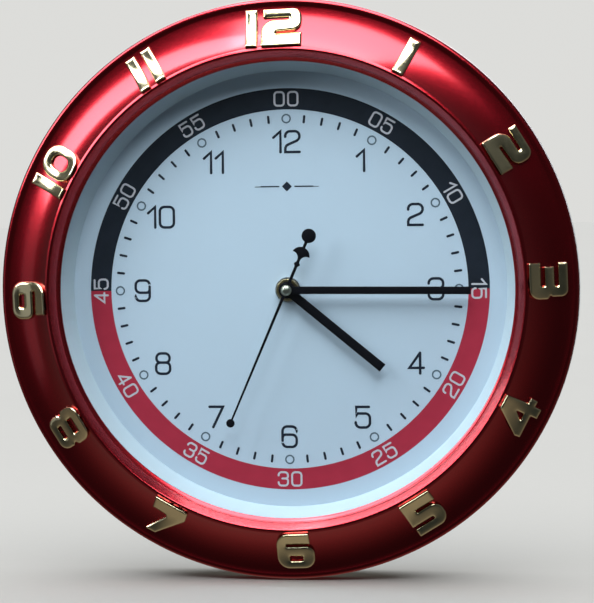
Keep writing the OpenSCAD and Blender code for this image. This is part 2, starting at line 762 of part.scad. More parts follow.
// Core through the coil, a limb at each end of it, and two poles that meet round the rotor
module stator() {
    left = -22.4;
    right = 7.6;
    left_pole_y = 12.6;
    right_pole_y = 14.8;
    top = coil_y + core[0] / 2 + 0.85;
    color([0.62, 0.64, 0.66]) stand_up() translate([0, 0, coil_z - core[1] / 2]) linear_extrude(core[1])
        difference() {
            union() {
                translate([left, coil_y - core[0] / 2]) square([right - left, core[0]]);
                translate([left, left_pole_y]) square([3, top - left_pole_y]);
                translate([left, left_pole_y]) square([8, 3]);
                translate([right - 2.9, right_pole_y]) square([2.9, top - right_pole_y]);
                translate([-10, right_pole_y]) square([right + 10, 3]);
                translate(rotor_p) circle(r = 5.6);
            }
            translate(rotor_p) circle(r = 3.5);
        }
}

board = [[-26.4, -9.8], [-16.8, 9.5]];
board_z = [10.6, 11.4];

chip_p = [-21.6, 4.2];

module circuit_board() {
    color([0.1, 0.4, 0.2]) stand_up() {
        translate([board[0][0], board[0][1], board_z[0]])
            cube([board[1][0] - board[0][0], board[1][1] - board[0][1], board_z[1] - board_z[0]]);
        // Drop of resin over the chip
        at(chip_p) disc(2.8, board_z[1] - 0.1, board_z[1] + 0.9);
    }
}

module crystal() {
    r = 1;
    color([0.8, 0.8, 0.82]) stand_up() translate([chip_p[0], -8, board_z[1] + r + 0.02])
        rotate([-90, 0, 0]) cylinder(r = r, h = 6.2);
}

module battery() {
    ends = [-25, 24.2];
    tip_r = 2.7;
    tip_h = 1.2;
    color([0.2, 0.35, 0.6]) stand_up() {
        along_x(ends[0], ends[1], battery_r, battery_p[0], battery_p[1]);
        along_x(ends[1] - 0.1, ends[1] + tip_h, tip_r, battery_p[0], battery_p[1]);
    }
}

module contact_plate(x0, x1) {
    translate([x0, battery_p[0] - 4.5, battery_p[1] - 5]) cube([x1 - x0, 9, 10]);
}

module contact_positive() {
    color([0.8, 0.8, 0.8]) stand_up() {
        contact_plate(26.1, 26.5);
        along_x(25.5, 26.2, 2, battery_p[0], battery_p[1]);
    }
}

// Coiled end spring: rings that step inwards towards the battery
module contact_negative() {
    color([0.8, 0.8, 0.8]) stand_up() {
        contact_plate(-26.7, -26.3);
        for (ring = [[-26.4, -25.9, 4], [-26, -25.5, 3.3], [-25.6, -25.1, 2.6]])
            difference() {
                along_x(ring[0], ring[1], ring[2], battery_p[0], battery_p[1]);
                along_x(ring[0] - 1, ring[1] + 1, ring[2] - 1, battery_p[0], battery_p[1]);
            }
    }
}

// Selection ------------------------------------------------------------------------------------

front_ring();
glass();
spacer_ring();
dial();
back_case();
case_screws();
for (n = [1:12]) numeral(n);
hour_hand();
minute_hand();
second_hand();
centre_bush();
centre_nut();
dial_washer();
rubber_washer();
movement_housing();
movement_cover();
middle_plate();
rotor();
fifth_wheel();
seconds_wheel();
third_wheel();
centre_wheel();
cannon_pinion();
minute_wheel();
hour_wheel();
setting_knob();
coil();
stator();
circuit_board();
crystal();
battery();
contact_positive();
contact_negative();
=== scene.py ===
"""Round wall clock: red coved ring, raised gold numerals, printed dial and three hands.

Shapes are worked out in clock coordinates, in millimetres: x to the right, y up, z from the wall
towards the viewer. put() turns them into the row frame, in metres."""

import math

import bmesh
import bpy
import numpy as np
from mathutils import Matrix, Vector
from mathutils.geometry import delaunay_2d_cdt


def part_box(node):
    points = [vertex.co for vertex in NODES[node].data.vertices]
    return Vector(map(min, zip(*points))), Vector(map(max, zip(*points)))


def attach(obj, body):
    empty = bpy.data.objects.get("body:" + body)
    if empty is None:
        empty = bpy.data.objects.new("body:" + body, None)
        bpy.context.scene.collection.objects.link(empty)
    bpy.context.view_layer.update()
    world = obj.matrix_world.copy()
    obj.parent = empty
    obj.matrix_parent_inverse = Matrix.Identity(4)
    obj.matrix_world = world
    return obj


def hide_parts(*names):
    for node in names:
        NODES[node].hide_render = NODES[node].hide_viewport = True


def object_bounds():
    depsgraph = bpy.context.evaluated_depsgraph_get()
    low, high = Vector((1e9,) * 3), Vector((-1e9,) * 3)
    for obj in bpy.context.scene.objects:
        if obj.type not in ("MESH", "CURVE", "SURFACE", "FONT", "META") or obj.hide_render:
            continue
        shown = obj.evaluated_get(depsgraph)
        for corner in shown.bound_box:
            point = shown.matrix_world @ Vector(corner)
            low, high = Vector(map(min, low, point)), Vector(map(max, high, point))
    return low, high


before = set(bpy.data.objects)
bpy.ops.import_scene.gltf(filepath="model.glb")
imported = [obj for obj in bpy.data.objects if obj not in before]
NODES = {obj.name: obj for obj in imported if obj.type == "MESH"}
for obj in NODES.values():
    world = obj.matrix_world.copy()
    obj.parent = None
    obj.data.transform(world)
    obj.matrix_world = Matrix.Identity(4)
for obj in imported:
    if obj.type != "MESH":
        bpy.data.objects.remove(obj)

CAD_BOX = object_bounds()
MM = 0.001


# Places read from the frame ---------------------------------------------------------------------


def front_of(node):
    return -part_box(node)[0].y / MM


def back_of(node):
    return -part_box(node)[1].y / MM


def radius_of(node):
    low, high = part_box(node)
    return (high.x - low.x) / 2 / MM


RING_R = radius_of("front_ring")
RING_BACK = back_of("front_ring")
GLASS_R = radius_of("glass")
LEDGE_Z = front_of("glass") + 0.05
DIAL_Z = front_of("dial")
NUT_R = radius_of("centre_nut")
NUT_Z = (back_of("centre_nut"), front_of("centre_nut"))

# Front ring: opening, cove and bead
OPEN_R = GLASS_R - 3.6
COVE_R = 34.3
COVE_C = (RING_R - 0.5, LEDGE_Z + 30.25)
COVE_A = (223, 264)
RIDGE_R = 1.15
RIDGE_C = (OPEN_R + 5.5, LEDGE_Z + 6.1)
BEAD_R = 2.1
BEAD_C = (RING_R - BEAD_R, LEDGE_Z - 5.45)
WALL = 2.2

# Raised numerals
NUMERAL_H = 19.4
NUMERAL_R = 133.9
NUMERAL_T = 1.9
NUMERAL_GLUE = 0.08
RING_TURN = -1.8

# Hands: angle clockwise from twelve, length, width, eye radius, thickness
HOUR_HAND = dict(angle=129.5, length=63.6, width=4.7, eye=4.3, thick=0.6)
MINUTE_HAND = dict(angle=90.4, length=94.6, width=3.9, eye=3.7, thick=0.5)
SECOND_HAND = dict(angle=203.4, length=74.8, eye=2.6, thick=0.4, tip=2.2)
HAND_Z = {"hour": DIAL_Z + 4.5, "minute": DIAL_Z + 6.9, "second": DIAL_Z + 8.9}
HAND_EDGE, SECOND_EDGE = 0.16, 0.12

# Printed dial
BAND = (93.25, 104.2)
TRACK_R = 88.5
HOUR_FIGURE_R = 76.6
MINUTE_FIGURE_R = 98.7
# Heights of the print: its gap over the card, its thickness, and the step between crossing strokes
PRINT_GAP = 0.01
INK = 0.04
LAYER = 0.004


# Plane geometry ----------------------------------------------------------------------------------

CORNER_STEP = 12.0  # degrees of turn for each edge of a rounded corner


def polar(r, a):
    """The point at radius r and angle a in degrees, anticlockwise from +x."""
    return (r * math.cos(math.radians(a)), r * math.sin(math.radians(a)))


def clock(r, a):
    """The point at radius r and angle a in degrees, clockwise from twelve."""
    return polar(r, 90 - a)


def arc(c, r, a0, a1, steps):
    points = []
    for i in range(steps + 1):
        x, y = polar(r, a0 + (a1 - a0) * i / steps)
        points.append((c[0] + x, c[1] + y))
    return points


def corner(before, here, after, steps=None):
    """An arc that rounds the corner at here, given as (x, y, radius), between its two neighbours."""
    at, r = Vector(here[:2]), here[2]
    u = (Vector(before[:2]) - at).normalized()
    v = (Vector(after[:2]) - at).normalized()
    half = math.acos(max(-1, min(1, u.dot(v)))) / 2
    centre = at + (u + v).normalized() * r / math.sin(half)
    first = at + u * r / math.tan(half) - centre
    last = at + v * r / math.tan(half) - centre
    a0 = math.degrees(math.atan2(first.y, first.x))
    turn = (math.degrees(math.atan2(last.y, last.x)) - a0 + 180) % 360 - 180
    return arc(centre, r, a0, a0 + turn, steps or max(2, math.ceil(abs(turn) / CORNER_STEP)))


def rounded(points):
    """An outline given as (x, y, corner radius), with its corners turned into arcs."""
    made = []
    for i, here in enumerate(points):
        made += corner(points[i - 1], here, points[(i + 1) % len(points)])
    return made


def turned(points, angle, move=(0, 0)):
    """Points turned clockwise by angle and then moved."""
    c, s = math.cos(math.radians(angle)), math.sin(math.radians(angle))
    return [(x * c + y * s + move[0], -x * s + y * c + move[1]) for x, y in points]


def opposite(side, a, b):
    """The angle in degrees between sides a and b of a triangle."""
    return math.degrees(math.acos((a * a + b * b - side * side) / (2 * a * b)))


def mirrored(right):
    """A closed outline from its right half, given from the top down."""
    return right + [(-x, y) for x, y in reversed(right) if x > 1e-6]


# Meshes ------------------------------------------------------------------------------------------


def put(x, y, z):
    return Vector((x, -z, y)) * MM


def link_new(name, data):
    """A new object in the scene."""
    obj = bpy.data.objects.new(name, data)
    bpy.context.scene.collection.objects.link(obj)
    return obj


def finish_mesh(name, bm, body, material, replaces=(), sharp=35.0):
    """Turn a bmesh into a piece: body, material, and smooth shading but for edges past sharp."""
    bmesh.ops.recalc_face_normals(bm, faces=bm.faces)
    for face in bm.faces:
        face.smooth = True
    for edge in bm.edges:
        if len(edge.link_faces) == 2 and edge.calc_face_angle(0) > math.radians(sharp):
            edge.smooth = False
    mesh = bpy.data.meshes.new(name)
    bm.to_mesh(mesh)
    bm.free()
    obj = link_new(name, mesh)
    mesh.materials.append(material)
    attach(obj, body)
    if replaces:
        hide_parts(*replaces)


def lathe(bm, profile, steps):
    """Turn a closed profile of (radius, z) round the hands' axis."""
    rings = []
    for i in range(steps):
        a = 2 * math.pi * i / steps
        c, s = math.cos(a), math.sin(a)
        rings.append([bm.verts.new(put(r * c, r * s, z)) for r, z in profile])
    n = len(profile)
    for i in range(steps):
        here, after = rings[i], rings[(i + 1) % steps]
        for j in range(n):
            k = (j + 1) % n
            bm.faces.new((here[j], after[j], after[k], here[k]))


def dome(bm, profile, steps=64):
    """Turn an open profile of (radius, z) that starts and ends on the axis."""
    rings = []
    for i in range(steps):
        a = 2 * math.pi * i / steps
        c, s = math.cos(a), math.sin(a)
        rings.append([bm.verts.new(put(r * c, r * s, z)) for r, z in profile[1:-1]])
    first = bm.verts.new(put(0, 0, profile[0][1]))
    last = bm.verts.new(put(0, 0, profile[-1][1]))
    for i in range(steps):
        here, after = rings[i], rings[(i + 1) % steps]
        bm.faces.new((first, after[0], here[0]))
        bm.faces.new((last, here[-1], after[-1]))
        for j in range(len(here) - 1):
            bm.faces.new((here[j], after[j], after[j + 1], here[j + 1]))


def resampled(loop, spacing):
    """A closed loop with extra points, so that none lie further apart than spacing."""
    made = []
    for i, p in enumerate(loop):
        q = loop[(i + 1) % len(loop)]
        gap = math.dist(p, q)
        if gap < 1e-5:
            continue
        parts = max(1, math.ceil(gap / spacing))
        made += [(p[0] + (q[0] - p[0]) * k / parts, p[1] + (q[1] - p[1]) * k / parts) for k in range(parts)]
    return made


def distances(points, loops):
    """For each point, how far it lies from the loops and whether it is inside them."""
    p = np.array(points, float)
    best = np.full(len(p), 1e9)
    crossings = np.zeros(len(p), int)
    for loop in loops:
        a = np.array(loop, float)
        b = np.roll(a, -1, axis=0)
        d = b - a
        for start, step, end in zip(a, d, b):
            t = np.clip(((p - start) @ step) / max(step @ step, 1e-12), 0, 1)
            best = np.minimum(best, np.hypot(*(p - start - t[:, None] * step).T))
            spans = (start[1] > p[:, 1]) != (end[1] > p[:, 1])
            if step[1]:
                x = start[0] + (p[:, 1] - start[1]) * step[0] / step[1]
                crossings += spans & (p[:, 0] < x)
    return best, crossings % 2 == 1


def filled(loops, extra=()):
    """Triangles that fill the space inside closed loops, with extra points inside it."""
    verts, edges = [], []
    for loop in loops:
        base = len(verts)
        verts += [Vector(p) for p in loop]
        edges += [(base + i, base + (i + 1) % len(loop)) for i in range(len(loop))]
    verts += [Vector(p) for p in extra]
    out, _, faces, *_ = delaunay_2d_cdt(verts, edges, [], 0, 1e-5)
    centres = [sum((out[i] for i in f), Vector((0, 0))) / len(f) for f in faces]
    _, inside = distances(centres, loops)
    return [tuple(v) for v in out], [f for f, keep in zip(faces, inside) if keep]


def rim_edges(faces):
    """The directed edges that only one of the triangles has."""
    seen = {(f[i], f[(i + 1) % len(f)]) for f in faces for i in range(len(f))}
    return [(a, b) for a, b in seen if (b, a) not in seen]


def slab(bm, loops, lower, upper, extra=()):
    """A solid between two heights; lower and upper give z from x, y and the distance to the rim."""
    flat, faces = filled(loops, extra)
    used = sorted({i for f in faces for i in f})
    depth, _ = distances([flat[i] for i in used], loops)
    bottom, top = {}, {}
    for i, d in zip(used, depth):
        x, y = flat[i]
        bottom[i] = bm.verts.new(put(x, y, lower(x, y, d)))
        top[i] = bm.verts.new(put(x, y, upper(x, y, d)))
    for f in faces:
        bm.faces.new([top[i] for i in f])
        bm.faces.new([bottom[i] for i in reversed(f)])
    for a, b in rim_edges(faces):
        bm.faces.new((top[b], top[a], bottom[a], bottom[b]))


def flat_at(z):
    """A height function for slab() that is the same everywhere."""
    return lambda x, y, d: z


def rolled(d, width):
    """How far a rounded rim lies below its top, as a share of the roll's height."""
    return 1 - math.sqrt(1 - (1 - min(d / width, 1)) ** 2)


def plate(bm, loops, z0, z1, edge):
    """A flat plate whose upper rim is rounded over a width of edge."""
    loops = [resampled(loop, 1.5) for loop in loops]
    inner = rim_points(loops, [edge * 0.3, edge])
    slab(bm, loops, flat_at(z0), lambda x, y, d: z1 - edge * rolled(d, edge), inner)


ROW_SHARE = 0.96  # a point nearer to another stretch of rim than this share of its depth is left out


def rim_points(loops, depths):
    """Points inside the loops, one row for each depth, following the rim."""
    made = []
    for depth in depths:
        row = []
        for loop in loops:
            for i, p in enumerate(loop):
                before, after = Vector(loop[i - 1]), Vector(loop[(i + 1) % len(loop)])
                along = (after - before).normalized()
                for side in (1, -1):
                    row.append((p[0] - along.y * side * depth, p[1] + along.x * side * depth))
        far, inside = distances(row, loops)
        made += [p for p, d, ok in zip(row, far, inside) if ok and d > depth * ROW_SHARE]
    return made


def ribbon(bm, path, width, z0, z1, closed=False):
    """A printed stroke of even width along a path, with round ends when it is open."""
    n = len(path)
    left, right = [], []
    for i, p in enumerate(path):
        at = Vector(p)
        before = Vector(path[i - 1]) if i or closed else at
        after = Vector(path[(i + 1) % n]) if i < n - 1 or closed else at
        u = (at - before).normalized() if (at - before).length > 1e-9 else (after - at).normalized()
        v = (after - at).normalized() if (after - at).length > 1e-9 else u
        normal = (Vector((-u.y, u.x)) + Vector((-v.y, v.x))).normalized()
        reach = width / 2 / max(0.5, normal.dot(Vector((-u.y, u.x))))
        left.append(at + normal * reach)
        right.append(at - normal * reach)
    if closed:
        outline = [left, right]
    else:
        start, end = Vector(path[0]), Vector(path[-1])
        a_end = math.degrees(math.atan2(*(left[-1] - end).yx))
        a_start = math.degrees(math.atan2(*(right[0] - start).yx))
        cap_end = [Vector(q) for q in arc(end, width / 2, a_end, a_end - 180, 8)]
        cap_start = [Vector(q) for q in arc(start, width / 2, a_start, a_start - 180, 8)]
        outline = [left[:-1] + cap_end + list(reversed(right[1:-1])) + cap_start]
    loops = [[(q.x, q.y) for q in loop] for loop in outline]
    slab(bm, loops, flat_at(z0), flat_at(z1))


# Materials ---------------------------------------------------------------------------------------


NOISE_LOW, NOISE_HIGH = 0.3, 0.7  # the values between which most of a noise lies


def shades(colour, vary):
    """A darker and a lighter shade of a colour."""
    return tuple(c * (1 - vary) for c in colour), tuple(min(1, c * (1 + vary)) for c in colour)


def set_stops(ramp, stops):
    """Give a colour ramp its stops, each as (position, (r, g, b))."""
    elements = ramp.color_ramp.elements
    while len(elements) < len(stops):
        elements.new(0.5)
    for element, (position, colour) in zip(elements, stops):
        element.position = position
        element.color = (*colour, 1)


class Nodes:
    """A material's node tree, with short ways to add and join nodes."""

    def __init__(self, name):
        self.material = bpy.data.materials.new(name)
        self.material.use_nodes = True
        self.tree = self.material.node_tree
        self.shader = self.tree.nodes["Principled BSDF"]
        self.coords = self.tree.nodes.new("ShaderNodeTexCoord").outputs["Object"]

    def add(self, kind, inputs=(), **settings):
        node = self.tree.nodes.new("ShaderNode" + kind)
        for key, value in settings.items():
            setattr(node, key, value)
        for key, value in dict(inputs).items():
            if isinstance(value, bpy.types.NodeSocket):
                self.tree.links.new(value, node.inputs[key])
            else:
                node.inputs[key].default_value = value
        return node

    def link(self, output, socket):
        self.tree.links.new(output, self.shader.inputs[socket])

    def noise(self, size_mm, stretch=(1, 1, 1)):
        where = self.add("Mapping", {"Vector": self.coords, "Scale": stretch}).outputs[0]
        noise = self.add("TexNoise", {"Vector": where, "Scale": 1 / (size_mm * MM), "Detail": 3.0})
        return noise.outputs["Fac"]

    def blend(self, fac, low, high):
        """A colour between two, by a noise or another factor in its range."""
        ramp = self.add("ValToRGB", {"Fac": fac})
        set_stops(ramp, [(NOISE_LOW, low), (NOISE_HIGH, high)])
        return ramp.outputs["Color"]

    def between(self, fac, low, high):
        """A number between two, by a noise."""
        spread = {"Value": fac, "From Min": NOISE_LOW, "From Max": NOISE_HIGH, "To Min": low, "To Max": high}
        return self.add("MapRange", spread).outputs["Result"]

    def bump(self, height, depth_mm):
        return self.add("Bump", {"Height": height, "Distance": depth_mm * MM}).outputs[0]


def surface(name, colour, rough, vary=0.08, rough_vary=0.06, patch=6.0, grain=0.5, bump=0.0,
            stretch=(1, 1, 1), metallic=0.0, coat=0.0, specular=0.5):
    """A moulded, painted or plated surface: its shade varies in patches and its gloss in a grain.

    patch and grain are sizes and bump is a depth, in millimetres."""
    m = Nodes(name)
    m.shader.inputs["Metallic"].default_value = metallic
    m.shader.inputs["Coat Weight"].default_value = coat
    m.shader.inputs["Specular IOR Level"].default_value = specular
    patches = m.noise(patch, stretch)
    fine = m.noise(grain, stretch)
    m.link(m.blend(patches, *shades(colour, vary)), "Base Color")
    m.link(m.between(fine, rough - rough_vary, rough + rough_vary), "Roughness")
    if bump:
        m.link(m.bump(fine, bump), "Normal")
    return m.material


def flake_paint(name, colour):
    """Metallic red under clear coat: fine flakes vary the base layer's brightness."""
    m = Nodes(name)
    m.shader.inputs["Metallic"].default_value = 1.0
    m.shader.inputs["Coat Weight"].default_value = 0.8
    m.shader.inputs["Coat Roughness"].default_value = 0.16
    flake_mm = 0.22
    flakes = m.add("TexVoronoi", {"Vector": m.coords, "Scale": 1 / (flake_mm * MM)})
    m.link(m.blend(flakes.outputs["Color"], *shades(colour, 0.1)), "Base Color")
    m.link(m.between(m.noise(25), 0.255, 0.27), "Roughness")
    return m.material


def pane(name):
    """Flat clear glass: it lets light through, mirrors more at a slant, and has faint smears."""
    m = Nodes(name)
    m.tree.nodes.remove(m.shader)
    clear = m.add("BsdfTransparent", {"Color": (0.97, 0.985, 0.98, 1)})
    shine = m.add("BsdfGlossy", {"Color": (1, 1, 1, 1), "Roughness": m.between(m.noise(30), 0.01, 0.03)})
    slant = m.add("LayerWeight", {"Blend": 0.5}).outputs["Facing"]
    steep = m.add("Math", {0: slant, 1: 5.0}, operation="POWER").outputs[0]
    head_on = 0.04
    share = m.add("MapRange", {"Value": steep, "To Min": head_on, "To Max": 1.0}).outputs["Result"]
    mix = m.add("MixShader", {0: share, 1: clear.outputs[0], 2: shine.outputs[0]})
    m.tree.links.new(mix.outputs[0], m.tree.nodes["Material Output"].inputs["Surface"])
    return m.material


def winding(name):
    """Enamelled copper wire wound side by side round an axis along x."""
    m = Nodes(name)
    m.shader.inputs["Metallic"].default_value = 1.0
    pitch_mm = 0.5
    wave = m.add("TexWave", {"Vector": m.coords, "Scale": 1 / (pitch_mm * MM), "Distortion": 0.4})
    m.link(m.blend(wave.outputs["Fac"], (0.32, 0.1, 0.03), (0.8, 0.34, 0.12)), "Base Color")
    m.link(m.between(m.noise(0.6), 0.25, 0.4), "Roughness")
    m.link(m.bump(wave.outputs["Fac"], 0.05), "Normal")
    return m.material


def sleeve(name, low, high):
    """A cell's sleeve, from x = low to high: metal, a dark blue body, a copper collar and metal."""
    m = Nodes(name)
    m.shader.inputs["Coat Weight"].default_value = 0.4
    along = m.add("SeparateXYZ", {"Vector": m.coords}).outputs["X"]
    share = m.add("MapRange", {"Value": along, "From Min": low, "From Max": high}).outputs["Result"]
    paint = m.add("ValToRGB", {"Fac": share})
    metal = m.add("ValToRGB", {"Fac": share})
    tin, blue, copper = (0.7, 0.7, 0.72), (0.02, 0.05, 0.16), (0.62, 0.36, 0.14)
    stops = [(0.0, tin, 1), (0.03, blue, 0), (0.72, copper, 0.6), (0.955, tin, 1)]
    for ramp in (paint, metal):
        ramp.color_ramp.interpolation = "CONSTANT"
    set_stops(paint, [(place, colour) for place, colour, bare in stops])
    set_stops(metal, [(place, (bare, bare, bare)) for place, colour, bare in stops])
    m.link(paint.outputs["Color"], "Base Color")
    m.link(metal.outputs["Color"], "Metallic")
    m.link(m.between(m.noise(2), 0.28, 0.36), "Roughness")
    return m.material


RED = flake_paint("red_flake_paint", (0.4, 0.006, 0.015))
METAL = dict(metallic=1.0)
INK_GLOSS = dict(grain=0.3, specular=0.12)
GOLD = surface("gold_plating", (0.74, 0.65, 0.41), 0.16, 0.05, 0.04, patch=9, grain=2.5, **METAL)
BRASS = surface("turned_brass", (0.5, 0.4, 0.22), 0.32, patch=2, grain=0.4, **METAL)
CAP_METAL = surface("cap_metal", (0.4, 0.41, 0.34), 0.36, 0.05, 0.05, patch=2, grain=0.4, **METAL)
BLACK = surface("satin_black", (0.004, 0.004, 0.007), 0.5, 0.15, grain=0.3, bump=0.004, specular=0.08)
DIAL_WHITE = surface("dial_card", (0.61, 0.73, 0.86), 0.6, 0.012, 0.05, patch=40, grain=0.4, specular=0.2)
SPACER = surface("satin_white_plastic", (0.58, 0.69, 0.76), 0.45, 0.02, patch=30, grain=0.6, bump=0.004,
                 specular=0.25)
INK_DARK = surface("navy_black_ink", (0.016, 0.021, 0.032), 0.5, 0.12, patch=8, **INK_GLOSS)
INK_TEXT = surface("dark_ink", (0.018, 0.024, 0.04), 0.5, 0.12, patch=3, **INK_GLOSS)
INK_RED = surface("red_ink", (0.49, 0.034, 0.066), 0.5, 0.06, patch=8, **INK_GLOSS)
INK_WHITE = surface("white_ink", (0.66, 0.64, 0.7), 0.5, 0.03, patch=3, **INK_GLOSS)
INK_GREY = surface("grey_ink", (0.12, 0.17, 0.22), 0.5, 0.06, patch=3, **INK_GLOSS)
CASE = surface("moulded_grey_white", (0.62, 0.64, 0.64), 0.5, 0.03, patch=25, grain=0.45, bump=0.03)
MOVEMENT = surface("moulded_black", (0.025, 0.025, 0.028), 0.46, 0.12, patch=8, grain=0.35, bump=0.025)
COVER = surface("moulded_dark_grey", (0.04, 0.04, 0.044), 0.52, 0.1, patch=8, grain=0.3, bump=0.025)
GEAR = surface("acetal_white", (0.8, 0.79, 0.72), 0.38, 0.03, patch=4)
PLATE = surface("natural_plastic", (0.68, 0.68, 0.6), 0.45, 0.04, patch=5)
KNOB = surface("knob_plastic_red", (0.5, 0.03, 0.025), 0.38, patch=3, grain=0.4, bump=0.01)
STEEL = surface("zinc_steel", (0.66, 0.67, 0.7), 0.3, 0.08, 0.08, patch=1.5, grain=0.3, **METAL)
LAMINATION = surface("lamination_steel", (0.5, 0.51, 0.53), 0.36, patch=2, grain=0.3,
                     stretch=(1, 1, 6), **METAL)
NICKEL = surface("nickel_spring", (0.76, 0.74, 0.68), 0.2, patch=2, grain=0.4, **METAL)
MAGNET = surface("sintered_magnet", (0.18, 0.18, 0.2), 0.5, 0.15, patch=1, grain=0.2, bump=0.01, metallic=0.6)
RUBBER = surface("black_rubber", (0.02, 0.02, 0.02), 0.75, 0.15, patch=2, grain=0.25, bump=0.02)
BOARD = surface("solder_mask", (0.02, 0.16, 0.06), 0.3, 0.15, patch=2, grain=0.3, coat=0.4)
CAN = surface("crystal_can", (0.78, 0.78, 0.8), 0.22, patch=1.5, grain=0.3, **METAL)
COPPER = winding("copper_winding")
GLASS = pane("clear_glass")
BATTERY = sleeve("cell_sleeve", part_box("battery")[0].x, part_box("battery")[1].x)

KEPT = {
    "glass": (GLASS, "clear_glass"),
    "spacer_ring": (SPACER, "white_spacer"),
    "dial": (DIAL_WHITE, "dial_print"),
    "back_case": (CASE, "case_plastic"),
    "case_screws": (STEEL, "screw_steel"),
    "centre_bush": (BRASS, "brass_fitting"),
    "dial_washer": (STEEL, "steel_washer"),
    "rubber_washer": (RUBBER, "black_rubber"),
    "movement_housing": (MOVEMENT, "movement_plastic"),
    "movement_cover": (COVER, "movement_plastic"),
    "middle_plate": (PLATE, "plate_plastic"),
    "rotor": (MAGNET, "rotor_magnet"),
    "fifth_wheel": (GEAR, "gear_plastic"),
    "seconds_wheel": (GEAR, "gear_plastic"),
    "third_wheel": (GEAR, "gear_plastic"),
    "centre_wheel": (GEAR, "gear_plastic"),
    "cannon_pinion": (BRASS, "brass_fitting"),
    "minute_wheel": (GEAR, "gear_plastic"),
    "hour_wheel": (GEAR, "gear_plastic"),
    "setting_knob": (KNOB, "knob_plastic"),
    "coil": (COPPER, "coil_copper"),
    "stator": (LAMINATION, "stator_steel"),
    "circuit_board": (BOARD, "board_green"),
    "crystal": (CAN, "crystal_can"),
    "battery": (BATTERY, "battery_jacket"),
    "contact_positive": (NICKEL, "contact_nickel"),
    "contact_negative": (NICKEL, "contact_nickel"),
}


def paint_kept_nodes():
    for node, (material, slot) in KEPT.items():
        obj = NODES[node]
        obj.data.materials.clear()
        obj.data.materials.append(material)


# Front ring --------------------------------------------------------------------------------------


def ring_profile():
    """From the glass outwards: edge, slope with a step, ridge, cove and bead, and the hollow back."""
    # The slope, from the glass edge, as steps outwards and forwards
    slope = [(0, 0), (0, 0.7), (0.1, 0.9), (0.3, 1), (1.8, 2.58), (1.96, 2.85), (2.04, 3.2), (2.2, 3.55)]
    face = [(OPEN_R + out, LEDGE_Z + forward) for out, forward in slope]
    face += arc(RIDGE_C, RIDGE_R, 150, 50, 16)
    face += arc(COVE_C, COVE_R, *COVE_A, 48)
    face += arc(BEAD_C, BEAD_R, 110, 0, 24)
    inside_r, rebate_r, rebate_z = RING_R - WALL, GLASS_R + 0.2, LEDGE_Z - 2.8
    back = [(RING_R, RING_BACK), (inside_r, RING_BACK), (inside_r, BEAD_C[1] - 0.6)]
    back += arc(COVE_C, COVE_R + WALL, COVE_A[1] - 1, COVE_A[0] + 3, 24)
    back += [(rebate_r + 2, rebate_z), (rebate_r, rebate_z), (rebate_r, LEDGE_Z)]
    return face + back


def make_front_ring():
    bm = bmesh.new()
    lathe(bm, ring_profile(), 360)
    finish_mesh("red_front_ring", bm, "case", RED, ["front_ring"], sharp=40)


# Raised numerals ---------------------------------------------------------------------------------
# Outlines as (x, y, corner radius) on a height of NUMERAL_H, and the holes in them

H = NUMERAL_H
BAR_W, THIN_BAR_W = 6.2, 5.8
TWO_W, WIDE_TWO_W, THREE_W, FOUR_W, FIVE_W = 19.2, 20.6, 18.7, 21.0, 18.9
SIX_W, SEVEN_W, EIGHT_W, ZERO_W = 19.6, 19.2, 19.8, 17.0
TEN_X, ELEVEN_X, TWELVE_X = 7.7, 9.2, 8.2  # where the second digit starts


def bar(width=BAR_W, x=0.0):
    return [[(x, 0, 0.5), (x + width, 0, 0.5), (x + width, H, 0.5), (x, H, 0.5)]]


def shifted(loops, dx, stretch=1.0):
    return [[(x * stretch + dx, y, r) for x, y, r in loop] for loop in loops]


TWO = [[(0.8, H, 0.5), (19.2, H, 4.6), (19.2, 8.4, 4.8), (6.8, 7.7, 0.5), (6.8, 6.5, 0.5),
        (19.2, 6.9, 0.5), (19.2, 0, 0.5), (0, 0, 0.5), (0, H - 5.7, 6.2), (13, H - 5.7, 0.6),
        (13, H - 4.3, 0.6), (0.8, H - 4.3, 0.5)]]
THREE = [[(0.3, H, 0.8), (17.6, H, 3.6), (17.6, 11.2, 1.4), (16.8, 10.6, 0.3), (18.7, 9.2, 1.6),
          (18.7, 0, 5.2), (0, 0, 0.6), (0, 5.8, 0.5), (12.2, 5.8, 0.9), (12.2, 7.8, 0.9),
          (2.2, 7.8, 0.5), (2.2, H - 6.8, 0.5), (12.2, H - 6.8, 0.9), (12.2, H - 4.8, 0.9),
          (0.3, H - 4.8, 0.5)]]
FOUR = [[(9.8, H, 1.2), (17.4, H, 0.8), (17.9, 7.6, 0.3), (21, 7.6, 0.5), (20.8, 3.6, 0.5),
         (17.8, 3.6, 0.3), (17.8, 0, 0.5), (12.6, 0, 0.5), (12.4, 3.4, 0.3), (0.4, 3.2, 0.6),
         (0, 6.2, 0.6)],
        [(8.2, 7.2, 0.3), (12, 7.2, 0.3), (12, 11.2, 0.3)]]
FIVE = [[(0, H, 0.6), (17.9, H, 0.6), (17.9, H - 6, 0.5), (6.3, H - 6, 0.6), (6.3, 11.9, 0.6),
         (18.9, 11.9, 5), (18.9, 0, 5.4), (0.8, 0, 0.6), (0.8, 4.5, 0.5), (12.3, 4.5, 0.6),
         (12.3, 6, 0.6), (0, 6, 0.5)]]
SIX = [[(0, H, 7), (17.6, H, 0.6), (17.6, H - 6, 0.5), (5.2, H - 6, 0.6), (5.2, 11.9, 0.6),
        (19.6, 11.9, 4), (19.6, 0, 5.4), (0, 0, 6.4)],
       [(6.6, 4, 0.7), (13.3, 4, 0.7), (13.3, 6.8, 0.7), (6.6, 6.8, 0.7)]]
